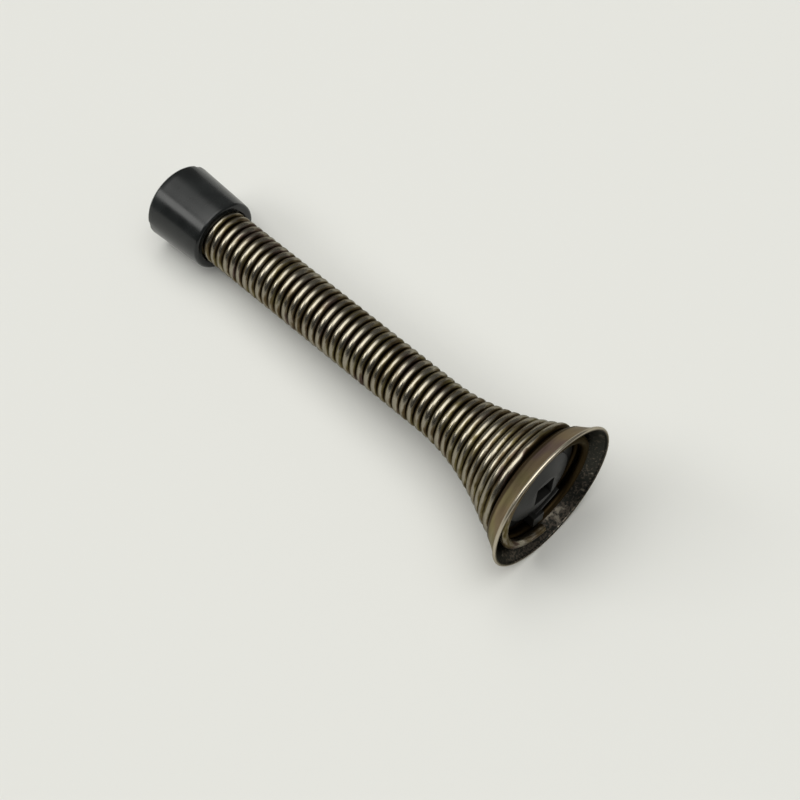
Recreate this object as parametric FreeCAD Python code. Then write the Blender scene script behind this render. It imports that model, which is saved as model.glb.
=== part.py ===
import FreeCAD, Part
import math
import os

# Spring door stop, in millimetres. The wall plane is Y = 0 and the stop stands out along -Y,
# with Z up. A station is a distance from the wall plane, measured along the stop's own axis.

# Whole stop
overall_length = 85.0

# Close-wound coil of round wire, with a trumpet flare at the wall
wire_diameter = 1.50
turn_gap = 0.07
coil_outer_diameter = 9.65
flare_outer_diameter = 20.45
flare_start_station = 23.90
flare_end_station = 4.86
flare_power = 1.95
coil_end_station = 1.00
coil_end_angle = 184.0
coil_tip_gap = 0.40
wire_sides = 8
steps_per_turn = 14

# Rubber tip pushed over the free end of the coil
tip_length = 11.85
tip_end_diameter = 13.85
tip_mouth_diameter = 12.65
tip_end_wall = 2.60
tip_end_round = 0.45
tip_mouth_round = 0.55
tip_clearance = 0.05
tip_bore_round = 0.60

# Flared sheet collar over the last turns
rim_diameter = 25.80
sheet_thickness = 0.40
collar_clearance = 0.05
collar_depth = 3.55
shoulder_radius = 0.80
collar_dip = 0.10
collar_hem_overlap = 0.05
hem_radius = 0.30
hem_flat = 0.30

# Moulded boss inside the flare
boss_clearance = 0.30
boss_flange_station = 3.60
boss_inner_station = 14.00
boss_inner_round = 0.60
hub_diameter = 13.00
hub_edge_station = 2.80
hub_crown_station = 1.70
hub_crown_diameter = 5.60
hub_edge_round = 0.25
socket_width = 3.80
socket_depth = 9.00
socket_angle = 9.0
rib_thickness = 0.55
rib_length = 5.40
rib_height = 0.70
rib_angle = 166.0
lug_station = 1.60
lug_width = 2.30
lug_angle = 189.0
lug_outer_gap = 0.35

pitch = wire_diameter + turn_gap
wire_radius = wire_diameter / 2
coil_radius = (coil_outer_diameter - wire_diameter) / 2
flare_radius = (flare_outer_diameter - wire_diameter) / 2
coil_last_station = overall_length - tip_end_wall - coil_tip_gap - wire_radius
tip_mouth_station = overall_length - tip_length
hem_station = math.sqrt(hem_radius ** 2 - (hem_flat / 2) ** 2)
hem_centre_radius = rim_diameter / 2 - hem_radius


def place(station, radius, angle):
    """A point given by its station, its distance from the axis and its angle from +Z in degrees."""
    turn = math.radians(angle)
    return FreeCAD.Vector(-radius * math.sin(turn), -station, radius * math.cos(turn))


def section_point(station, radius):
    """A point of a turned section, which lies in the plane X = 0 above the axis."""
    return FreeCAD.Vector(0, -station, radius)


def axial_cylinder(radius, near_station, far_station):
    """A solid cylinder on the stop's axis between two stations."""
    base = FreeCAD.Vector(0, -near_station, 0)
    return Part.makeCylinder(radius, far_station - near_station, base, FreeCAD.Vector(0, -1, 0))


def turned(edges):
    """The solid that a closed section makes when it turns about the stop's axis."""
    face = Part.Face(Part.Wire(edges))
    return face.revolve(FreeCAD.Vector(0, 0, 0), FreeCAD.Vector(0, 1, 0), 360)


def section_edges(points):
    """Straight edges that join section points in order and close the section."""
    return [Part.LineSegment(a, b).toShape() for a, b in zip(points, points[1:] + points[:1])]


def flare_share(station):
    """How far along the trumpet a station lies: 0 on the straight coil and 1 on the end turns."""
    share = (flare_start_station - station) / (flare_start_station - flare_end_station)
    return min(max(share, 0), 1)


def turn_radius(station):
    """The radius of the wire's centreline at a station: straight, then the trumpet, then the end turns."""
    return coil_radius + (flare_radius - coil_radius) * flare_share(station) ** flare_power


def turn_slope(station):
    """How fast the centreline's radius falls with the station."""
    share = flare_share(station)
    if share in (0, 1):
        return 0
    fall = (flare_radius - coil_radius) / (flare_start_station - flare_end_station)
    return fall * flare_power * share ** (flare_power - 1)


def coil_path():
    """Points along the wire's centreline, from the cut end at the wall to the end inside the tip.

    The turns lie one pitch apart along the trumpet's slope, so they stay close-wound where it widens.
    """
    points = []
    station = coil_end_station
    angle = coil_end_angle
    while station < coil_last_station:
        points.append(place(station, turn_radius(station), angle))
        station += pitch / steps_per_turn / math.hypot(1, turn_slope(station))
        angle += 360 / steps_per_turn
    return points


def first_ring(start, along):
    """The wire's outline at its first point, square to the wire."""
    side = along.cross(FreeCAD.Vector(0, 1, 0)).normalize()
    up = side.cross(along).normalize()
    ring = []
    for index in range(wire_sides):
        turn = 2 * math.pi * (index + 0.5) / wire_sides
        ring.append(start + side * (wire_radius * math.cos(turn)) + up * (wire_radius * math.sin(turn)))
    return ring


def mitred_ring(ring, corner, before, after):
    """A ring carried along the wire onto the mitre plane at the path's next corner."""
    normal = (before + after).normalize()
    return [point + before * ((corner - point).dot(normal) / before.dot(normal)) for point in ring]


def make_coil_spring():
    """The whole coil as one wire: flat-sided lengths that are mitred into each other at every corner."""
    path = coil_path()
    runs = [(b - a).normalize() for a, b in zip(path, path[1:])]
    rings = [first_ring(path[0], runs[0])]
    for index in range(1, len(path)):
        after = runs[min(index, len(runs) - 1)]
        rings.append(mitred_ring(rings[-1], path[index], runs[index - 1], after))
    faces = []
    for ring, following in zip(rings, rings[1:]):
        for index in range(wire_sides):
            other = (index + 1) % wire_sides
            corners = [ring[index], ring[other], following[other], following[index]]
            faces.append(Part.Face(Part.makePolygon(corners + corners[:1])))
    for ring in (rings[0], rings[-1]):
        faces.append(Part.Face(Part.makePolygon(ring + ring[:1])))
    coil = Part.Solid(Part.Shell(faces))
    if coil.Volume < 0:
        coil.reverse()
    return coil


def make_rubber_tip():
    """A tapered rubber cap, rounded at its end, with a blind bore that grips the coil."""
    end_radius = tip_end_diameter / 2
    mouth_radius = tip_mouth_diameter / 2
    body = turned(section_edges([
        section_point(tip_mouth_station, 0),
        section_point(tip_mouth_station, mouth_radius),
        section_point(overall_length, end_radius),
        section_point(overall_length, 0),
    ]))
    end_edge = circle_edges(body, end_radius)
    body = body.makeFillet(tip_end_round, end_edge)
    mouth_edge = circle_edges(body, mouth_radius)
    body = body.makeFillet(tip_mouth_round, mouth_edge)
    bore_radius = coil_outer_diameter / 2 + tip_clearance
    bore = axial_cylinder(bore_radius, tip_mouth_station, overall_length - tip_end_wall)
    bore = bore.makeFillet(tip_bore_round, far_edges(bore, overall_length - tip_end_wall))
    return body.cut(bore)


def circle_edges(shape, radius):
    """The round edges of a turned shape that have one radius."""
    found = []
    for edge in shape.Edges:
        if isinstance(edge.Curve, Part.Circle) and abs(edge.Curve.Radius - radius) < 1e-6:
            found.append(edge)
    return found


def far_edges(shape, station):
    """The round edges of a turned shape that lie at one station."""
    found = []
    for edge in shape.Edges:
        if isinstance(edge.Curve, Part.Circle) and abs(edge.Curve.Center.y + station) < 1e-6:
            found.append(edge)
    return found


def collar_line(offset):
    """Points along the sheet's section, moved out from its outer face by an offset.

    They are the start, middle and end of the rounded shoulder, then the middle and end of the
    dished cone that runs down to the hem.
    """
    hole_radius = flare_outer_diameter / 2 + collar_clearance
    centre_station = collar_depth - shoulder_radius
    outer = shoulder_radius + offset
    rise = hem_centre_radius - hole_radius
    run = centre_station - hem_station
    lean = math.atan2(rise, run) - math.asin((shoulder_radius - sheet_thickness / 2) / math.hypot(rise, run))
    normal_angle = math.pi / 2 - lean
    points = []
    for share in (0, 0.5, 1):
        turn = normal_angle * share
        points.append((centre_station + outer * math.cos(turn), hole_radius + outer * math.sin(turn)))
    cone_length = math.hypot(rise, run) - collar_hem_overlap
    for share, dip in ((0.5, collar_dip), (1, 0)):
        along = cone_length * share
        station = points[2][0] - along * math.cos(lean) - dip * math.sin(lean)
        radius = points[2][1] + along * math.sin(lean) - dip * math.cos(lean)
        points.append((station, radius))
    return [section_point(station, radius) for station, radius in points]


def make_flared_collar():
    """A spun sheet collar: a rounded shoulder on the coil, a dished cone and a hemmed rim at the wall."""
    outer = collar_line(0)
    inner = collar_line(-sheet_thickness)
    sheet = turned([
        Part.Arc(outer[0], outer[1], outer[2]).toShape(),
        Part.Arc(outer[2], outer[3], outer[4]).toShape(),
        Part.LineSegment(outer[4], inner[4]).toShape(),
        Part.Arc(inner[4], inner[3], inner[2]).toShape(),
        Part.Arc(inner[2], inner[1], inner[0]).toShape(),
        Part.LineSegment(inner[0], outer[0]).toShape(),
    ])
    hem_centre = FreeCAD.Vector(0, -hem_station, 0)
    hem = Part.makeTorus(hem_centre_radius, hem_radius, hem_centre, FreeCAD.Vector(0, 1, 0))
    wall_side = Part.makeCylinder(rim_diameter, rim_diameter, FreeCAD.Vector(0, 0, 0), FreeCAD.Vector(0, 1, 0))
    return sheet.fuse(hem).cut(wall_side).removeSplitter()


def boss_radius(station):
    """The boss's radius at a station, just inside the turns of the flare."""
    return turn_radius(station) - wire_radius - boss_clearance


def make_boss_body():
    """The turned part of the boss: a hub with a low crown, a flange and a body that follows the flare."""
    hub_radius = hub_diameter / 2
    stations = [flare_end_station + (boss_inner_station - flare_end_station) * i / 4 for i in range(5)]
    flare = Part.BSplineCurve()
    flare.interpolate([section_point(s, boss_radius(s)) for s in stations])
    corners = [
        section_point(boss_inner_station, boss_radius(boss_inner_station)),
        section_point(boss_inner_station, 0),
        section_point(hub_crown_station, 0),
        section_point(hub_crown_station, hub_crown_diameter / 2),
        section_point(hub_edge_station, hub_radius),
        section_point(boss_flange_station, hub_radius),
        section_point(boss_flange_station, boss_radius(boss_flange_station)),
        section_point(flare_end_station, boss_radius(flare_end_station)),
    ]
    edges = [Part.LineSegment(a, b).toShape() for a, b in zip(corners, corners[1:])]
    body = turned(edges + [flare.toShape()])
    body = body.makeFillet(hub_edge_round, far_edges(body, hub_edge_station))
    return body.makeFillet(boss_inner_round, far_edges(body, boss_inner_station))


def upright_block(width, depth, near_station, far_station, offset, angle):
    """A block along the axis: its middle stands at an offset from the axis in the direction of the angle."""
    block = Part.makeBox(width, far_station - near_station, depth)
    block.translate(FreeCAD.Vector(-width / 2, -far_station, offset - depth / 2))
    block.rotate(FreeCAD.Vector(0, 0, 0), FreeCAD.Vector(0, 1, 0), -angle)
    return block


def make_fixing_boss():
    """The moulded boss in the flare, with its square socket, a rib beside it and the lug at the wire's end."""
    body = make_boss_body()
    socket = upright_block(
        socket_width, socket_width, 0, hub_crown_station + socket_depth, 0, socket_angle)
    rib_offset = hub_diameter / 2 - rib_thickness
    rib = upright_block(
        rib_length, rib_thickness, hub_edge_station - rib_height, boss_flange_station, rib_offset, rib_angle)
    rib = rib.common(axial_cylinder(hub_diameter / 2, 0, boss_flange_station))
    lug_outer = flare_radius - wire_radius - lug_outer_gap
    lug_depth = lug_outer - hub_diameter / 2 + hub_edge_round
    lug_middle = lug_outer - lug_depth / 2
    lug = upright_block(lug_width, lug_depth, lug_station, boss_flange_station, lug_middle, lug_angle)
    lug = lug.common(axial_cylinder(lug_outer, 0, boss_flange_station))
    return body.fuse([rib, lug]).cut(socket).removeSplitter()


nodes = {
    "coil_spring": make_coil_spring(),
    "rubber_tip": make_rubber_tip(),
    "flared_collar": make_flared_collar(),
    "fixing_boss": make_fixing_boss(),
}
os.makedirs("parts", exist_ok=True)
for name, shape in nodes.items():
    solid = shape if shape.ShapeType == "Solid" else shape.Solids[0]
    solid.exportStep("parts/" + name + ".step")
    print(name, "solids", len(shape.Solids), "valid", solid.isValid(), "volume", round(solid.Volume, 2))
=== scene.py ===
"""Looks of the spring door stop: wire, sheet collar, rubber tip and boss, lit on a pale floor."""

import logging
import math
from dataclasses import dataclass
from enum import Enum

import bpy
import numpy as np
from mathutils import Matrix, Vector


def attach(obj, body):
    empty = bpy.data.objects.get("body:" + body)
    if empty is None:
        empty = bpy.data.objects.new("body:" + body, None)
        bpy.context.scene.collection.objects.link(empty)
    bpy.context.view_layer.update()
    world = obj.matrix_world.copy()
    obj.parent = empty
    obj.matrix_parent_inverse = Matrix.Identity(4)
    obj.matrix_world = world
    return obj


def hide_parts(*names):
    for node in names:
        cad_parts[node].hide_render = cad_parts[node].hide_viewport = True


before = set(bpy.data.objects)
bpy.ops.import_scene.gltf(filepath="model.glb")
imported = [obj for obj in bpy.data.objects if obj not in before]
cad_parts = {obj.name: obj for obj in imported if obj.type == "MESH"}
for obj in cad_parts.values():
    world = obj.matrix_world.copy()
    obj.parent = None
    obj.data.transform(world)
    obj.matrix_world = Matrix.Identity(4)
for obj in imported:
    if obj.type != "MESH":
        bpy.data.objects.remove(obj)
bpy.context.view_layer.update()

log = logging.getLogger("door_stop")

MM = 0.001

Color = tuple[float, float, float]
Coordinates = tuple[float, float, float]
Range = tuple[float, float]
Pair = tuple[float, float]
Faces = list[tuple[int, ...]]


class Body(str, Enum):
    """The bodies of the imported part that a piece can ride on."""

    WHOLE = "root"


class Part(str, Enum):
    """The part's own nodes, by name."""

    COIL = "coil_spring"
    TIP = "rubber_tip"
    COLLAR = "flared_collar"
    BOSS = "fixing_boss"


def smoothstep(low: float, high: float, value: np.ndarray) -> np.ndarray:
    """Eases a value from 0 at one limit to 1 at the other.

    Args:
        low: The value that gives 0.
        high: The value that gives 1.
        value: The values to ease.

    Returns:
        The eased values, from 0 to 1.
    """
    share = np.clip((value - low) / (high - low), 0.0, 1.0)
    return share * share * (3.0 - 2.0 * share)


def degrees_from(centre: float, angle: np.ndarray) -> np.ndarray:
    """Measures how far angles lie from one direction, the short way round.

    Args:
        centre: The direction, in degrees.
        angle: The angles, in radians.

    Returns:
        The signed differences, in degrees.
    """
    return (np.degrees(angle) - centre + 180.0) % 360.0 - 180.0


def around_axis(station: np.ndarray, radius: np.ndarray, angle: np.ndarray) -> np.ndarray:
    """Turns stations, radii and angles about the stop's axis into points.

    Args:
        station: Distances from the wall plane, in metres.
        radius: Distances from the axis, in metres.
        angle: Angles from straight up, in radians.

    Returns:
        The points, with X, Y and Z in the last place.
    """
    parts = np.broadcast_arrays(-radius * np.sin(angle), -station, radius * np.cos(angle))
    return np.stack(parts, -1)


def tube_faces(rows: int, columns: int) -> Faces:
    """Lists the faces of a tube of rings, with one many-sided face at each end.

    Args:
        rows: How many rings of points there are.
        columns: How many points each ring has.

    Returns:
        The faces, as indices into the points: the side row by row, then the first and the last end.
    """
    faces = []
    for row in range(rows - 1):
        here, there = row * columns, (row + 1) * columns
        for column in range(columns):
            after = (column + 1) % columns
            faces.append((here + column, here + after, there + after, there + column))
    last = (rows - 1) * columns
    faces.append(tuple(range(columns))[::-1])
    faces.append(tuple(range(last, last + columns)))
    return faces


def new_piece(name: str, points: np.ndarray, faces: Faces) -> bpy.types.Object:
    """Makes a smooth mesh piece and puts it into the scene.

    Args:
        name: The piece's name.
        points: Its corner points, in metres, one row each.
        faces: Its faces, as indices into the points.

    Returns:
        The new object.
    """
    mesh = bpy.data.meshes.new(name)
    mesh.from_pydata(points.reshape(-1, 3).tolist(), [], faces)
    mesh.validate()
    mesh.polygons.foreach_set("use_smooth", [True] * len(mesh.polygons))
    piece = bpy.data.objects.new(name, mesh)
    bpy.context.scene.collection.objects.link(piece)
    return piece


def write_field(piece: bpy.types.Object, name: str, values: np.ndarray) -> None:
    """Stores one number a point on a piece, for its material to read.

    Args:
        piece: The piece.
        name: The name that the material reads.
        values: One value for each point of the mesh.
    """
    layer = piece.data.attributes.new(name, "FLOAT", "POINT")
    layer.data.foreach_set("value", np.asarray(values, np.float32).ravel())


class Nodes:
    """Adds nodes to a material, a world or a group and links them."""

    def __init__(self, tree: bpy.types.NodeTree) -> None:
        """Keeps the tree that the nodes go into."""
        self.tree = tree

    def add(self, kind: str, inputs: dict | None = None, **settings: object) -> bpy.types.Node:
        """Adds a node, with its settings and inputs.

        Args:
            kind: The node's type, without its ShaderNode prefix.
            inputs: A value or an output socket for each input, by the input's name or place.
            settings: The node's own properties, by name.

        Returns:
            The new node.
        """
        prefix = "" if kind.startswith("Node") else "ShaderNode"
        node = self.tree.nodes.new(prefix + kind)
        for name, value in settings.items():
            setattr(node, name, value)
        for name, value in (inputs or {}).items():
            self.feed(node.inputs[name], value)
        return node

    def feed(self, socket: bpy.types.NodeSocket, value: object) -> None:
        """Links an output to an input socket, or sets the socket's own value.

        Args:
            socket: The input socket.
            value: An output socket, a number, or a colour or vector.
        """
        if isinstance(value, bpy.types.NodeSocket):
            self.tree.links.new(value, socket)
            return
        if socket.type == "RGBA" and len(value) == 3:
            value = (*value, 1.0)
        socket.default_value = value

    def math(self, operation: str, first: object, second: object) -> bpy.types.NodeSocket:
        """Adds a Math node.

        Args:
            operation: What the node does, by Blender's name for it.
            first: The first number or output socket.
            second: The second number or output socket.

        Returns:
            The node's output.
        """
        return self.add("Math", {0: first, 1: second}, operation=operation).outputs[0]

    def plus(self, first: object, second: object) -> bpy.types.NodeSocket:
        """Adds two values and returns the sum."""
        return self.math("ADD", first, second)

    def minus(self, first: object, second: object) -> bpy.types.NodeSocket:
        """Takes the second value from the first and returns the rest."""
        return self.math("SUBTRACT", first, second)

    def times(self, first: object, second: object) -> bpy.types.NodeSocket:
        """Multiplies two values and returns the product."""
        return self.math("MULTIPLY", first, second)

    def ease(self, value: object, limits: Range, least: float = 0.0,
             most: float = 1.0) -> bpy.types.NodeSocket:
        """Maps a value smoothly from one range to another.

        Args:
            value: The number or output socket to map.
            limits: The value that gives least, and the value that gives most.
            least: The result at the first limit.
            most: The result at the second limit.

        Returns:
            The eased value.
        """
        low, high = limits
        inputs = {
            "Value": value, "From Min": low, "From Max": high, "To Min": least, "To Max": most}
        return self.add("MapRange", inputs, interpolation_type="SMOOTHSTEP").outputs["Result"]

    def blend(self, share: object, first: object, second: object) -> bpy.types.NodeSocket:
        """Mixes two colours.

        Args:
            share: How much of the second colour shows, from 0 to 1.
            first: The first colour or output socket.
            second: The second colour or output socket.

        Returns:
            The mixed colour.
        """
        share_place, first_place, second_place, color_place = 0, 6, 7, 2
        inputs = {share_place: share, first_place: first, second_place: second}
        return self.add("Mix", inputs, data_type="RGBA").outputs[color_place]

    def noise(self, where: object, scale: object, detail: float) -> bpy.types.NodeSocket:
        """Adds a noise texture.

        Args:
            where: The place that it is read at.
            scale: How fine it is, per metre.
            detail: How many finer layers it has.

        Returns:
            Its value, from 0 to 1.
        """
        inputs = {"Vector": where, "Scale": scale, "Detail": detail}
        return self.add("TexNoise", inputs).outputs["Fac"]

    def place(self) -> bpy.types.NodeSocket:
        """Returns the point on the object, in its own coordinates."""
        return self.add("TexCoord").outputs["Object"]

    def vector(self, operation: str, first: object, second: object = None,
               result: str = "Vector") -> bpy.types.NodeSocket:
        """Adds a Vector Math node.

        Args:
            operation: What the node does, by Blender's name for it.
            first: The first vector or output socket.
            second: The second one, where the operation takes two.
            result: The output to return: Vector or Value.

        Returns:
            The node's output.
        """
        inputs = {0: first} if second is None else {0: first, 1: second}
        return self.add("VectorMath", inputs, operation=operation).outputs[result]

    def specks(self, group: bpy.types.NodeTree, where: object, scale: float,
               cover: object) -> bpy.types.NodeSocket:
        """Adds the group of scattered specks.

        Args:
            group: The group.
            where: The place on the object.
            scale: How fine the specks are, per metre.
            cover: How much of the surface they take, from 0 to 1.

        Returns:
            The mask of the specks.
        """
        inputs = {"Vector": where, "Scale": scale, "Cover": cover}
        return self.add("Group", inputs, node_tree=group).outputs["Mask"]


def new_material(name: str) -> tuple[bpy.types.Material, Nodes, bpy.types.Node]:
    """Makes a material that has a Principled shader.

    Args:
        name: The material's name.

    Returns:
        The material, a helper that adds nodes to it, and its Principled shader.
    """
    material = bpy.data.materials.new(name)
    material.use_nodes = True
    return material, Nodes(material.node_tree), material.node_tree.nodes["Principled BSDF"]


def new_group(name: str, inputs: dict[str, object],
              outputs: dict[str, str]) -> tuple[Nodes, dict, dict]:
    """Starts a shader node group with named sockets.

    Args:
        name: The group's name.
        inputs: The default of each input, by name. Three numbers make a colour, None a vector.
        outputs: The type of each output, by name: Float or Color.

    Returns:
        A helper that adds nodes to the group, and the group's input and output sockets, by name.
    """
    tree = bpy.data.node_groups.new(name, "ShaderNodeTree")
    for key, value in inputs.items():
        kind = "Vector" if value is None else "Color" if isinstance(value, tuple) else "Float"
        socket = tree.interface.new_socket(key, in_out="INPUT", socket_type="NodeSocket" + kind)
        if kind == "Color":
            socket.default_value = (*value, 1.0)
        if kind == "Float":
            socket.default_value = value
    for key, kind in outputs.items():
        tree.interface.new_socket(key, in_out="OUTPUT", socket_type="NodeSocket" + kind)
    nodes = Nodes(tree)
    entry, end = nodes.add("NodeGroupInput"), nodes.add("NodeGroupOutput")
    given = {key: entry.outputs[key] for key in inputs}
    wanted = {key: end.inputs[key] for key in outputs}
    return nodes, given, wanted


def build_specks_group() -> bpy.types.NodeTree:
    """Builds the effect of small round pits and specks that are scattered over a surface.

    Returns:
        The group: Vector, Scale and Cover go in, and a mask of the specks comes out.
    """
    largest = 1.6
    soft_edge = (-0.05, 0.18)
    nodes, given, wanted = new_group(
        "scattered specks", {"Vector": None, "Scale": 4000.0, "Cover": 0.2}, {"Mask": "Float"})
    inputs = {"Vector": given["Vector"], "Scale": given["Scale"]}
    cells = nodes.add("TexVoronoi", inputs, feature="F1")
    chance = nodes.add("SeparateColor", {0: cells.outputs["Color"]}).outputs[0]
    reach = nodes.times(nodes.minus(given["Cover"], chance), largest)
    depth = nodes.minus(reach, cells.outputs["Distance"])
    nodes.feed(wanted["Mask"], nodes.ease(depth, soft_edge))
    return nodes.tree


def build_aged_metal_group() -> bpy.types.NodeTree:
    """Builds the tone of darkened plating that is rubbed bright where it stands out.

    Returns:
        The group: the place, how exposed it is, the colours and the sizes of the clouds go in, and
        the colour, how rubbed it is and the height of the wear come out.
    """
    streak_weight, average, tint_size, rubbed_height = 1.4, 1.2, 0.7, 0.4
    middle_limits, bright_limits = (0.30, 0.66), (0.58, 0.92)
    warm_limits, cool_limits = (0.50, 0.62), (0.44, 0.36)
    nodes, given, wanted = new_group(
        "aged plating",
        {"Vector": None, "Streaked": None, "Exposed": 1.0, "Bright": (0.6, 0.5, 0.35),
         "Middle": (0.3, 0.24, 0.15), "Dark": (0.04, 0.03, 0.016), "Warm Tint": (0.5, 0.45, 0.2),
         "Cool Tint": (0.4, 0.3, 0.36), "Cloud Scale": 260.0, "Streak Scale": 1500.0,
         "Unevenness": 0.5},
        {"Color": "Color", "Rubbed": "Float", "Height": "Float"})
    cloud = nodes.noise(given["Vector"], given["Cloud Scale"], detail=3.0)
    streak = nodes.noise(given["Streaked"], given["Streak Scale"], detail=5.0)
    shift = nodes.minus(nodes.plus(cloud, nodes.times(streak, streak_weight)), average)
    rubbed = nodes.plus(given["Exposed"], nodes.times(shift, given["Unevenness"]))
    low = nodes.ease(rubbed, middle_limits)
    high = nodes.ease(rubbed, bright_limits)
    tint_scale = nodes.times(given["Cloud Scale"], tint_size)
    tinted = nodes.noise(given["Vector"], tint_scale, detail=2.0)
    middle = nodes.blend(nodes.ease(tinted, warm_limits), given["Middle"], given["Warm Tint"])
    middle = nodes.blend(nodes.ease(tinted, cool_limits), middle, given["Cool Tint"])
    tone = nodes.blend(low, given["Dark"], middle)
    nodes.feed(wanted["Color"], nodes.blend(high, tone, given["Bright"]))
    nodes.feed(wanted["Rubbed"], high)
    nodes.feed(wanted["Height"], nodes.plus(nodes.times(high, rubbed_height), streak))
    return nodes.tree


@dataclass(frozen=True)
class AgedBrass:
    """What the brass finishes share: darkened plating that is rubbed bright where it stands out."""

    name: str
    groups: dict[str, bpy.types.NodeTree]
    bright: Color
    middle: Color
    dark: Color
    warm_tint: Color
    cool_tint: Color
    cloud_scale: float
    streak_scale: float
    unevenness: float
    rubbed_roughness: float
    dark_roughness: float
    relief: float
    relief_depth: float = 0.02 * MM
    edge_tint: Color = (0.52, 0.52, 0.50)

    def plate(self, nodes: Nodes, where: object, streaked: object,
              exposed: object) -> tuple[bpy.types.Node, bpy.types.NodeSocket]:
        """Adds the aged plating.

        Args:
            nodes: The material's helper.
            where: The place on the object.
            streaked: The place that the streaks are read at.
            exposed: How exposed the surface is, about 0 to 1.

        Returns:
            The group's node, and the roughness that goes with its wear.
        """
        aged = nodes.add("Group", {
            "Vector": where, "Streaked": streaked, "Exposed": exposed, "Bright": self.bright,
            "Middle": self.middle, "Dark": self.dark, "Warm Tint": self.warm_tint,
            "Cool Tint": self.cool_tint, "Cloud Scale": self.cloud_scale,
            "Streak Scale": self.streak_scale, "Unevenness": self.unevenness,
        }, node_tree=self.groups["aged"])
        rough = nodes.ease(
            aged.outputs["Rubbed"], (0.0, 1.0), self.dark_roughness, self.rubbed_roughness)
        return aged, rough

    def polish(self, nodes: Nodes, shader: bpy.types.Node, rough: object, height: object) -> None:
        """Sets the shader's roughness, relief and metal.

        Args:
            nodes: The material's helper.
            shader: The material's Principled shader.
            rough: The roughness.
            height: The height of the wear, the specks and the pits.
        """
        nodes.feed(shader.inputs["Roughness"], rough)
        inputs = {"Strength": self.relief, "Height": height, "Distance": self.relief_depth}
        nodes.feed(shader.inputs["Normal"], nodes.add("Bump", inputs).outputs["Normal"])
        shader.inputs["Metallic"].default_value = 1.0
        shader.inputs["Specular Tint"].default_value = (*self.edge_tint, 1.0)


@dataclass(frozen=True)
class CoilBrass(AgedBrass):
    """Antique brass on wire: pale and streaked on the crests, brown-black between the turns."""

    bright: Color = (0.30, 0.272, 0.216)
    middle: Color = (0.120, 0.089, 0.047)
    dark: Color = (0.030, 0.020, 0.009)
    warm_tint: Color = (0.135, 0.110, 0.046)
    cool_tint: Color = (0.105, 0.072, 0.060)
    cloud_scale: float = 260.0
    streak_scale: float = 1700.0
    unevenness: float = 0.8
    rubbed_roughness: float = 0.26
    dark_roughness: float = 0.46
    relief: float = 0.25
    streak_stretch: float = 0.22
    pale_speck: Color = (0.42, 0.39, 0.33)
    speck_scale: float = 3200.0
    speck_clouds: Range = (0.42, 0.62)
    speck_cover: Range = (0.05, 0.30)
    speck_exposure: Range = (0.35, 0.75)
    speck_strength: float = 0.7
    pit: Color = (0.018, 0.012, 0.007)
    pit_scale: float = 2300.0
    pit_cover: float = 0.16
    pit_strength: float = 0.75
    pit_roughness: float = 0.2

    def build(self) -> bpy.types.Material:
        """Builds the material.

        Returns:
            The material, which reads the fields exposed, along and around of its piece.
        """
        material, nodes, shader = new_material(self.name)
        specks = self.groups["specks"]
        where = nodes.place()
        # The exposed field is wear, plus painted shade under the collar's shoulder and a painted
        # highlight near the cut end.
        exposed, along, around = [
            nodes.add("Attribute", attribute_name=field).outputs["Fac"]
            for field in ("exposed", "along", "around")]
        stretched = nodes.times(along, self.streak_stretch)
        wire = nodes.add("CombineXYZ", {0: stretched, 1: around}).outputs[0]
        aged, rough = self.plate(nodes, where, wire, exposed)
        cloud = nodes.noise(where, self.cloud_scale, detail=2.0)
        patchy = nodes.ease(cloud, self.speck_clouds, *self.speck_cover)
        pale = nodes.specks(specks, where, self.speck_scale, patchy)
        pale = nodes.times(pale, nodes.ease(exposed, self.speck_exposure))
        pale = nodes.times(pale, self.speck_strength)
        color = nodes.blend(pale, aged.outputs["Color"], self.pale_speck)
        pits = nodes.specks(specks, where, self.pit_scale, self.pit_cover)
        color = nodes.blend(nodes.times(pits, self.pit_strength), color, self.pit)
        nodes.feed(shader.inputs["Base Color"], color)
        rough = nodes.plus(rough, nodes.times(pits, self.pit_roughness))
        self.polish(nodes, shader, rough, nodes.minus(aged.outputs["Height"], pits))
        return material


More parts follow.
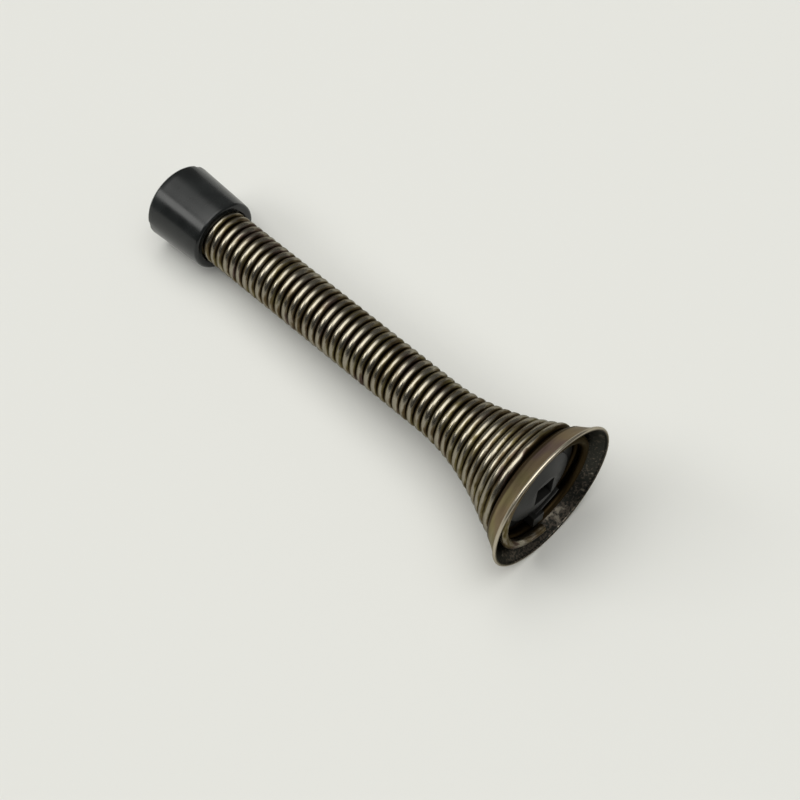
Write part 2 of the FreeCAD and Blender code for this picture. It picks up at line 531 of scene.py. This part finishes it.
@dataclass(frozen=True)
class CollarBrass(AgedBrass):
    """Antique brass on spun sheet: smooth brown gold, a rubbed hem and a speckled inside, with
    painted shade on the shoulder next to the coil and a painted reflection low on the inside.
    """

    bright: Color = (0.48, 0.43, 0.34)
    middle: Color = (0.265, 0.200, 0.125)
    dark: Color = (0.080, 0.057, 0.034)
    warm_tint: Color = (0.265, 0.222, 0.115)
    cool_tint: Color = (0.225, 0.160, 0.140)
    cloud_scale: float = 150.0
    streak_scale: float = 900.0
    unevenness: float = 0.28
    rubbed_roughness: float = 0.30
    dark_roughness: float = 0.40
    relief: float = 0.15
    streak_stretch: float = 0.12
    hem_limits: Range = (12.45 * MM, 12.80 * MM)
    shoulder_limits: Range = (2.60 * MM, 3.30 * MM)
    painted_shoulder_shade: float = 0.45
    cone_exposure: float = 0.56
    hem_exposure: float = 0.5
    inside_limits: Range = (0.25, -0.1)
    inside_tone: Color = (0.036, 0.036, 0.031)
    pale_speck: Color = (0.125, 0.105, 0.085)
    speck_scale: float = 2600.0
    speck_limits: Range = (0.68, 0.86)
    patch_fineness: float = 1.6
    patch_strength: float = 0.25
    painted_lower_reflection: float = 0.13
    painted_reflection_tone: Color = (0.27, 0.24, 0.195)
    painted_reflection_place: Coordinates = (-3.2 * MM, -2.1 * MM, -11.2 * MM)
    painted_reflection_reach: float = 3.4 * MM
    painted_reflection_scale: float = 1100.0
    painted_reflection_limits: Range = (0.62, 0.74)
    painted_reflection_strength: float = 0.20

    def build(self) -> bpy.types.Material:
        """Builds the material.

        Returns:
            The material, whose outside, hem and inside are told apart by place and direction.
        """
        material, nodes, shader = new_material(self.name)
        hem_radius = self.hem_limits[0]
        where = nodes.place()
        parts = nodes.add("SeparateXYZ", {0: where}).outputs
        radial = nodes.add("CombineXYZ", {0: parts["X"], 2: parts["Z"]}).outputs[0]
        radius = nodes.vector("LENGTH", radial, result="Value")
        station = nodes.times(parts["Y"], -1.0)
        normal = nodes.add("TexCoord").outputs["Normal"]
        outward = nodes.vector("NORMALIZE", radial)
        faces_out = nodes.vector("DOT_PRODUCT", outward, normal, result="Value")
        hem = nodes.ease(radius, self.hem_limits)
        inside = nodes.times(nodes.ease(faces_out, self.inside_limits), nodes.minus(1.0, hem))
        angle = nodes.times(nodes.math("ARCTAN2", parts["X"], parts["Z"]), hem_radius)
        stretched = nodes.times(angle, self.streak_stretch)
        spun = nodes.add("CombineXYZ", {0: stretched, 1: station}).outputs[0]
        # Painted shade: the shoulder next to the coil loses exposure, so it renders darker.
        shoulder_shade = nodes.ease(station, self.shoulder_limits, 0.0, self.painted_shoulder_shade)
        open_share = nodes.plus(self.cone_exposure, nodes.times(hem, self.hem_exposure))
        aged, rough = self.plate(nodes, where, spun, nodes.minus(open_share, shoulder_shade))
        # Painted reflection: the pale specks of the inside grow denser toward the bottom, where the
        # inside faces up into the light.
        lower_reflection = nodes.ease(parts["Z"], (0.0, -hem_radius), 0.0, self.painted_lower_reflection)
        patches_and_reflection = nodes.noise(where, self.cloud_scale * self.patch_fineness, detail=2.0)
        patches_and_reflection = nodes.plus(nodes.times(patches_and_reflection, self.patch_strength), lower_reflection)
        grain = nodes.noise(where, self.speck_scale, detail=4.0)
        # These specks are partly real speckling and partly the painted reflection toward the
        # bottom.
        specks = nodes.ease(nodes.plus(grain, patches_and_reflection), self.speck_limits)
        lining = nodes.blend(specks, self.inside_tone, self.pale_speck)
        # Painted reflection: a pale, ragged patch low inside the collar, around one place.
        away = nodes.vector("DISTANCE", where, self.painted_reflection_place, result="Value")
        reflection_near = nodes.ease(away, (self.painted_reflection_reach, 0.0), 0.0, self.painted_reflection_strength)
        painted_reflection_patch = nodes.noise(where, self.painted_reflection_scale, detail=4.0)
        painted_reflection_patch = nodes.ease(nodes.plus(painted_reflection_patch, reflection_near), self.painted_reflection_limits)
        lining = nodes.blend(painted_reflection_patch, lining, self.painted_reflection_tone)
        color = nodes.blend(inside, aged.outputs["Color"], lining)
        nodes.feed(shader.inputs["Base Color"], color)
        height = nodes.plus(aged.outputs["Height"], nodes.times(specks, inside))
        self.polish(nodes, shader, rough, height)
        return material


@dataclass(frozen=True)
class BlackPolymer:
    """Smooth black rubber or plastic, with a faint cloudiness, fine grain and a few dull specks."""

    name: str
    groups: dict[str, bpy.types.NodeTree]
    color: Color = (0.008, 0.009, 0.009)
    speck: Color = (0.03, 0.031, 0.031)
    roughness: float = 0.22
    roughness_spread: float = 0.04
    reflectance: float = 0.36
    edge_round: float = 0.0
    edge_samples: int = 8
    cloud_scale: float = 180.0
    cloud_lightness: float = 1.8
    cloud_limits: Range = (0.35, 0.75)
    roughness_limits: Range = (0.3, 0.7)
    grain_scale: float = 2600.0
    grain_strength: float = 0.03
    grain_depth: float = 0.05 * MM
    speck_scale: float = 700.0
    speck_cover: float = 0.03
    speck_roughness: float = 0.2

    def build(self) -> bpy.types.Material:
        """Builds the material.

        Returns:
            The material, with softly rounded edges where the finish asks for them.
        """
        material, nodes, shader = new_material(self.name)
        where = nodes.place()
        cloud = nodes.noise(where, self.cloud_scale, detail=4.0)
        pale = tuple(self.cloud_lightness * c for c in self.color)
        color = nodes.blend(nodes.ease(cloud, self.cloud_limits), self.color, pale)
        specks = nodes.specks(self.groups["specks"], where, self.speck_scale, self.speck_cover)
        nodes.feed(shader.inputs["Base Color"], nodes.blend(specks, color, self.speck))
        low, high = self.roughness - self.roughness_spread, self.roughness + self.roughness_spread
        rough = nodes.ease(cloud, self.roughness_limits, low, high)
        rough = nodes.plus(rough, nodes.times(specks, self.speck_roughness))
        nodes.feed(shader.inputs["Roughness"], rough)
        grain = nodes.noise(where, self.grain_scale, detail=2.0)
        inputs = {"Strength": self.grain_strength, "Height": grain, "Distance": self.grain_depth}
        bump = nodes.add("Bump", inputs)
        if self.edge_round > 0.0:
            bevel = nodes.add("Bevel", {"Radius": self.edge_round}, samples=self.edge_samples)
            nodes.feed(bump.inputs["Normal"], bevel.outputs[0])
        nodes.feed(shader.inputs["Normal"], bump.outputs["Normal"])
        shader.inputs["Specular IOR Level"].default_value = self.reflectance
        return material


@dataclass(frozen=True)
class CoilWire:
    """The close-wound wire: straight turns, the trumpet flare, and the cut end at the wall.

    Directions around the wire's own section are in degrees from straight away from the axis.
    """

    wire_diameter: float = 1.50 * MM
    turn_gap: float = 0.07 * MM
    coil_outer_diameter: float = 9.65 * MM
    flare_outer_diameter: float = 20.45 * MM
    flare_start_station: float = 23.90 * MM
    flare_end_station: float = 4.86 * MM
    flare_power: float = 1.95
    coil_end_station: float = 1.00 * MM
    coil_end_angle: float = math.radians(184.0)
    coil_last_station: float = 81.25 * MM
    end_bevel: float = 0.12 * MM
    crest_exposure: float = 1.06
    rubbed_centre: float = 11.0
    rubbed_reach: float = 74.0
    shade_full_station: float = 3.9 * MM
    shade_clear_station: float = 4.6 * MM
    painted_shade_share: float = 0.5
    highlight_start_station: float = 2.5 * MM
    highlight_full_station: float = 1.3 * MM
    painted_end_highlight: float = 0.72
    profile_samples: int = 20001
    slope_step: float = 0.01 * MM
    steps_per_turn: int = 72
    sides: int = 20

    def turn_radius(self, station: np.ndarray) -> np.ndarray:
        """Gives the radius of the wire's centreline about the stop's axis.

        Args:
            station: Distances from the wall plane, in metres.

        Returns:
            The radius at each station, in metres.
        """
        straight = (self.coil_outer_diameter - self.wire_diameter) / 2
        widest = (self.flare_outer_diameter - self.wire_diameter) / 2
        length = self.flare_start_station - self.flare_end_station
        share = np.clip((self.flare_start_station - station) / length, 0.0, 1.0)
        return straight + (widest - straight) * share ** self.flare_power

    def centreline(self) -> tuple[np.ndarray, np.ndarray, np.ndarray]:
        """Walks along the wire from its cut end at the wall to its end inside the tip.

        Returns:
            The station and angle of each point of the centreline, and the wire's length up to it.
        """
        fine = np.linspace(self.coil_end_station, self.coil_last_station, self.profile_samples)
        rise = np.diff(self.turn_radius(fine))
        profile = np.concatenate([[0.0], np.cumsum(np.hypot(rise, np.diff(fine)))])
        pitch = self.wire_diameter + self.turn_gap
        count = int(profile[-1] / pitch * self.steps_per_turn)
        up = np.arange(count + 1) * pitch / self.steps_per_turn
        station = np.interp(up, profile, fine)
        angle = self.coil_end_angle + 2 * math.pi * up / pitch
        step = 2 * math.pi / self.steps_per_turn * self.turn_radius(station)
        return station, angle, np.cumsum(step)

    def wear(self, station: np.ndarray, turn: np.ndarray) -> np.ndarray:
        """Gives how exposed the wire is to rubbing, with painted shade where it runs under the
        collar's shoulder and a painted highlight near its cut end.

        Args:
            station: The station of each ring of points.
            turn: The direction of each point of a ring around the wire, in radians.

        Returns:
            The exposure, one row for each ring.
        """
        # Painted shade: turns that run under the collar's shoulder keep only part of their
        # exposure, so they render darker.
        unshaded = smoothstep(self.shade_full_station, self.shade_clear_station, station)[:, None]
        lean = np.abs(degrees_from(self.rubbed_centre, turn))
        crest = (self.crest_exposure - lean / self.rubbed_reach)[None, :]
        exposed = crest * (self.painted_shade_share + (1.0 - self.painted_shade_share) * unshaded)
        # Painted highlight: near the cut end the last turn gets paler plating.
        end = smoothstep(self.highlight_start_station, self.highlight_full_station, station)[:, None]
        return np.maximum(exposed, end * self.painted_end_highlight)

    def build(self) -> bpy.types.Object:
        """Builds the wire as one closed round tube with a bevelled cut end.

        Returns:
            The wire, with the fields that its material reads written on it.
        """
        station, angle, length = self.centreline()
        path = around_axis(station, self.turn_radius(station), angle)
        along = np.gradient(path, axis=0)
        along /= np.linalg.norm(along, axis=1, keepdims=True)
        radial = around_axis(0.0, 1.0, angle)
        step = self.slope_step
        slope = (self.turn_radius(station + step) - self.turn_radius(station - step)) / (2 * step)
        out = radial + np.array([0.0, 1.0, 0.0]) * slope[:, None]
        out -= along * np.sum(out * along, 1, keepdims=True)
        out /= np.linalg.norm(out, axis=1, keepdims=True)
        side = np.cross(along, out)
        path = np.concatenate([path[:1], path[:1] + along[:1] * self.end_bevel, path[1:]])
        repeat = np.concatenate([[0, 0], np.arange(1, len(station))])
        turn = 2 * math.pi * np.arange(self.sides) / self.sides
        across = turn[None, :, None]
        normal = out[:, None] * np.cos(across) + side[:, None] * np.sin(across)
        thick = np.full(len(path), self.wire_diameter / 2)
        thick[0] -= self.end_bevel
        points = path[:, None] + normal[repeat] * thick[:, None, None]
        faces = tube_faces(len(path), self.sides)
        wire = new_piece("coil_wire", points, faces)
        cut_face = len(faces) - 2
        wire.data.polygons[cut_face].use_smooth = False
        shape = points.shape[:2]
        around = (turn - math.pi)[None, :] * self.wire_diameter / 2
        write_field(wire, "exposed", self.wear(station[repeat], turn))
        write_field(wire, "along", np.broadcast_to(length[repeat][:, None], shape))
        write_field(wire, "around", np.broadcast_to(around, shape))
        return wire

    def dress(self, wire: bpy.types.Object, groups: dict[str, bpy.types.NodeTree]) -> None:
        """Gives the wire its finish, and stands it in for the part's coil.

        Args:
            wire: The wire that build made.
            groups: The shared node groups, by name.
        """
        wire.data.materials.append(CoilBrass("coil antique brass", groups).build())
        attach(wire, Body.WHOLE.value)
        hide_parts(Part.COIL.value)


@dataclass(frozen=True)
class RubberTip:
    """The moulded rubber cap: slightly tapered, with soft edges, a thin flash line and small nicks.

    The nicks' angles and width are in degrees about the stop's axis. Steps are shares of a length.
    """

    length: float = 11.85 * MM
    far_station: float = 85.0 * MM
    end_diameter: float = 13.85 * MM
    mouth_diameter: float = 12.65 * MM
    bore_diameter: float = 9.75 * MM
    end_wall: float = 2.60 * MM
    end_round: float = 0.45 * MM
    mouth_round: float = 0.55 * MM
    lip_round: float = 0.20 * MM
    centre_radius: float = 0.02 * MM
    floor_step: float = 0.5
    bore_steps: tuple[float, ...] = (0.66, 0.33)
    side_steps: tuple[float, ...] = (0.25, 0.5, 0.75, 0.9)
    end_steps: tuple[float, ...] = (0.85, 0.6, 0.3)
    flash_height: float = 0.05 * MM
    flash_width: float = 0.10 * MM
    flash_inset: float = 0.62
    flash_shape: tuple[Pair, ...] = ((0.0, 0.0), (1.0, 0.3), (1.0, 1.0), (0.0, 1.4))
    flash_cuts_off: int = 3
    nick_angles: tuple[float, ...] = (44.3, 49.0, -93.5, -88.0, 160.0, 232.0)
    nick_depth: float = 0.16 * MM
    nick_width: float = 2.2
    nick_reach: float = 3.0
    nick_rim: Range = (0.80, 0.92)
    nick_direction: Pair = (0.8, 0.6)
    columns: int = 240
    round_steps: int = 8

    def corner(self, station: float, radius: float, size: float, start: float) -> list[Pair]:
        """Rounds one corner of the section with a quarter circle.

        Args:
            station: The station of the round's centre.
            radius: The radius of the round's centre.
            size: The round's own radius.
            start: Where the quarter starts, in degrees from straight outward toward the far end.

        Returns:
            The stations and radii of its points.
        """
        turns = np.radians(start + np.linspace(0.0, 90.0, self.round_steps))
        return [(station + size * math.sin(t), radius + size * math.cos(t)) for t in turns]

    def section(self) -> list[Pair]:
        """Lists the section from the bore's floor out over the mouth and the side to the end face.

        Returns:
            The stations and radii of its points.
        """
        mouth = self.far_station - self.length
        bore, side = self.bore_diameter / 2, self.mouth_diameter / 2
        far, deep = self.far_station - self.flash_height, self.far_station - self.end_wall
        points = [(deep, self.centre_radius), (deep, bore * self.floor_step), (deep, bore)]
        points += [(mouth + (deep - mouth) * t, bore) for t in self.bore_steps]
        points += self.corner(
            mouth + self.lip_round, bore + self.lip_round, self.lip_round, 180.0)
        points += self.corner(
            mouth + self.mouth_round, side - self.mouth_round, self.mouth_round, -90.0)
        end = self.end_diameter / 2 - self.flash_height
        points += [(mouth + (far - mouth) * t, side + (end - side) * t) for t in self.side_steps]
        end_corner = self.corner(far - self.end_round, end - self.end_round, self.end_round, 0.0)
        points += end_corner[:-self.flash_cuts_off]
        lip = end - self.end_round * self.flash_inset
        points += [(far + rise * self.flash_height, lip - inward * self.flash_width)
                   for rise, inward in self.flash_shape]
        points += [(far, end * t) for t in self.end_steps] + [(far, self.centre_radius)]
        return points

    def build(self) -> bpy.types.Object:
        """Builds the cap as one closed turned mesh with nicks in its far edge.

        Returns:
            The cap.
        """
        section = np.array(self.section())
        angle = 2 * math.pi * np.arange(self.columns) / self.columns
        station = np.repeat(section[:, :1], self.columns, 1)
        radius = np.repeat(section[:, 1:], self.columns, 1)
        nick_start = self.far_station - self.nick_reach * self.end_round
        near_edge = smoothstep(nick_start, self.far_station - self.end_round, station)
        near_edge *= smoothstep(*self.nick_rim, radius / (self.end_diameter / 2))
        back, inward = self.nick_direction
        for place in self.nick_angles:
            off = degrees_from(place, angle)
            dent = self.nick_depth * np.exp(-(off / self.nick_width) ** 2)[None, :] * near_edge
            station = station - dent * back
            radius = radius - dent * inward
        points = around_axis(station, radius, angle[None, :])
        return new_piece("rubber_cap", points, tube_faces(len(section), self.columns))

    def dress(self, cap: bpy.types.Object, groups: dict[str, bpy.types.NodeTree]) -> None:
        """Gives the cap its finish, and stands it in for the part's tip.

        Args:
            cap: The cap that build made.
            groups: The shared node groups, by name.
        """
        cap.data.materials.append(BlackPolymer("black rubber", groups).build())
        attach(cap, Body.WHOLE.value)
        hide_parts(Part.TIP.value)


@dataclass(frozen=True)
class CarriedPart:
    """A node of the part that keeps its own mesh and only gets a finish."""

    part: Part
    finish: BlackPolymer | CollarBrass

    def dress(self) -> None:
        """Gives the node its finish."""
        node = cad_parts[self.part.value]
        node.data.materials.clear()
        node.data.materials.append(self.finish.build())
        log.info("%s is dressed", self.part.value)


@dataclass(frozen=True)
class Studio:
    """The pale floor, the soft lights and the camera.

    The lights' turns are in degrees about Y, from +X up over +Z. Their ends are shares along Y.
    """

    floor_height: float = -12.93 * MM
    floor_slope: float = -0.0705
    floor_reach: float = 3.0
    floor_color: Color = (0.728, 0.728, 0.702)
    floor_darker: float = 0.97
    floor_cloud_scale: float = 3.0
    floor_roughness: float = 0.9
    floor_reflectance: float = 0.2
    camera_place: Coordinates = (89.328 * MM, 68.534 * MM, 204.070 * MM)
    camera_right: Coordinates = (-0.69977, 0.71297, -0.04466)
    camera_down: Coordinates = (0.61921, 0.57420, -0.53560)
    lens: float = 70.0
    sensor: float = 36.0
    panel_light: float = 3.5
    panel_far_share: float = 0.78
    panel_ends_share: float = 0.08
    panel_start: Range = (57.0, 66.0)
    panel_fade: Range = (78.0, 94.0)
    panel_end: Range = (128.0, 102.0)
    panel_ends: tuple[Range, Range] = ((-0.62, -0.32), (0.60, 0.32))
    strip_light: float = 4.2
    strip_start: Range = (34.0, 41.0)
    strip_end: Range = (62.0, 54.0)
    strip_ends: tuple[Range, Range] = ((-0.02, -0.22), (-0.78, -0.66))
    base_light: float = 0.05
    side_light: float = 0.16
    side_start: Range = (104.0, 128.0)
    blue_share: float = 0.97

    def build_floor(self) -> None:
        """Builds the floor under the collar's rim and the tip."""
        reach = self.floor_reach
        places = ((-reach, -reach), (reach, -reach), (reach, reach), (-reach, reach))
        corners = [(x, y, self.floor_height + self.floor_slope * y) for x, y in places]
        floor = new_piece("floor", np.array(corners), [(0, 1, 2, 3)])
        material, nodes, shader = new_material("floor paper")
        cloud = nodes.noise(nodes.place(), self.floor_cloud_scale, detail=2.0)
        darker = tuple(self.floor_darker * c for c in self.floor_color)
        nodes.feed(shader.inputs["Base Color"], nodes.blend(cloud, darker, self.floor_color))
        shader.inputs["Roughness"].default_value = self.floor_roughness
        shader.inputs["Specular IOR Level"].default_value = self.floor_reflectance
        floor.data.materials.append(material)

    def build_camera(self) -> None:
        """Builds the camera where the photograph was taken from."""
        right = Vector(self.camera_right).normalized()
        down = Vector(self.camera_down).normalized()
        forward = right.cross(down)
        turn = Matrix((right, -down, -forward)).transposed().to_4x4()
        lens = bpy.data.cameras.new("camera")
        lens.lens = self.lens
        lens.sensor_width = self.sensor
        camera = bpy.data.objects.new("camera", lens)
        camera.matrix_world = Matrix.Translation(Vector(self.camera_place)) @ turn
        bpy.context.scene.collection.objects.link(camera)
        bpy.context.scene.camera = camera

    def build_light(self) -> None:
        """Builds the light: a panel overhead, a strip beside it and dim surroundings.

        Beyond the floor the camera sees the floor's own colour.
        """
        world = bpy.data.worlds.new("surroundings")
        bpy.context.scene.world = world
        world.use_nodes = True
        nodes = Nodes(world.node_tree)
        parts = nodes.add("SeparateXYZ", {0: nodes.add("TexCoord").outputs["Generated"]}).outputs
        turn = nodes.math("ARCTAN2", parts["Z"], parts["X"])
        turn = nodes.math("DEGREES", turn, 0.0)
        panel = nodes.times(nodes.ease(turn, self.panel_start), nodes.ease(turn, self.panel_end))
        far_light = self.panel_far_share * self.panel_light
        panel = nodes.times(panel, nodes.ease(turn, self.panel_fade, self.panel_light, far_light))
        near_end, far_end = [
            nodes.ease(parts["Y"], limits, self.panel_ends_share, 1.0)
            for limits in self.panel_ends]
        panel = nodes.times(panel, nodes.times(near_end, far_end))
        strip = nodes.ease(turn, self.strip_end, 0.0, self.strip_light)
        strip = nodes.times(nodes.ease(turn, self.strip_start), strip)
        for limits in self.strip_ends:
            strip = nodes.times(strip, nodes.ease(parts["Y"], limits))
        beside = nodes.ease(turn, self.side_start, self.base_light, self.side_light)
        light = nodes.plus(panel, nodes.plus(strip, beside))
        blue = nodes.times(light, self.blue_share)
        color = nodes.add("CombineColor", {0: light, 1: light, 2: blue}).outputs[0]
        seen = nodes.add("LightPath").outputs["Is Camera Ray"]
        background = world.node_tree.nodes["Background"]
        nodes.feed(background.inputs["Color"], nodes.blend(seen, color, self.floor_color))


def main() -> None:
    """Builds and dresses every piece, then the floor, the lights and the camera."""
    logging.basicConfig(level=logging.INFO, format="%(name)s: %(message)s")
    bpy.context.scene.view_settings.view_transform = "Standard"
    groups = {"specks": build_specks_group(), "aged": build_aged_metal_group()}
    for maker in (CoilWire(), RubberTip()):
        piece = maker.build()
        maker.dress(piece, groups)
        log.info("%s has %d faces", piece.name, len(piece.data.polygons))
    plastic = BlackPolymer(
        "moulded black plastic", groups, color=(0.010, 0.010, 0.009), roughness=0.45,
        reflectance=0.28, edge_round=0.12 * MM)
    CarriedPart(Part.BOSS, plastic).dress()
    CarriedPart(Part.COLLAR, CollarBrass("collar antique brass", groups)).dress()
    studio = Studio()
    studio.build_floor()
    studio.build_light()
    studio.build_camera()


if __name__ == "__main__":
    main()
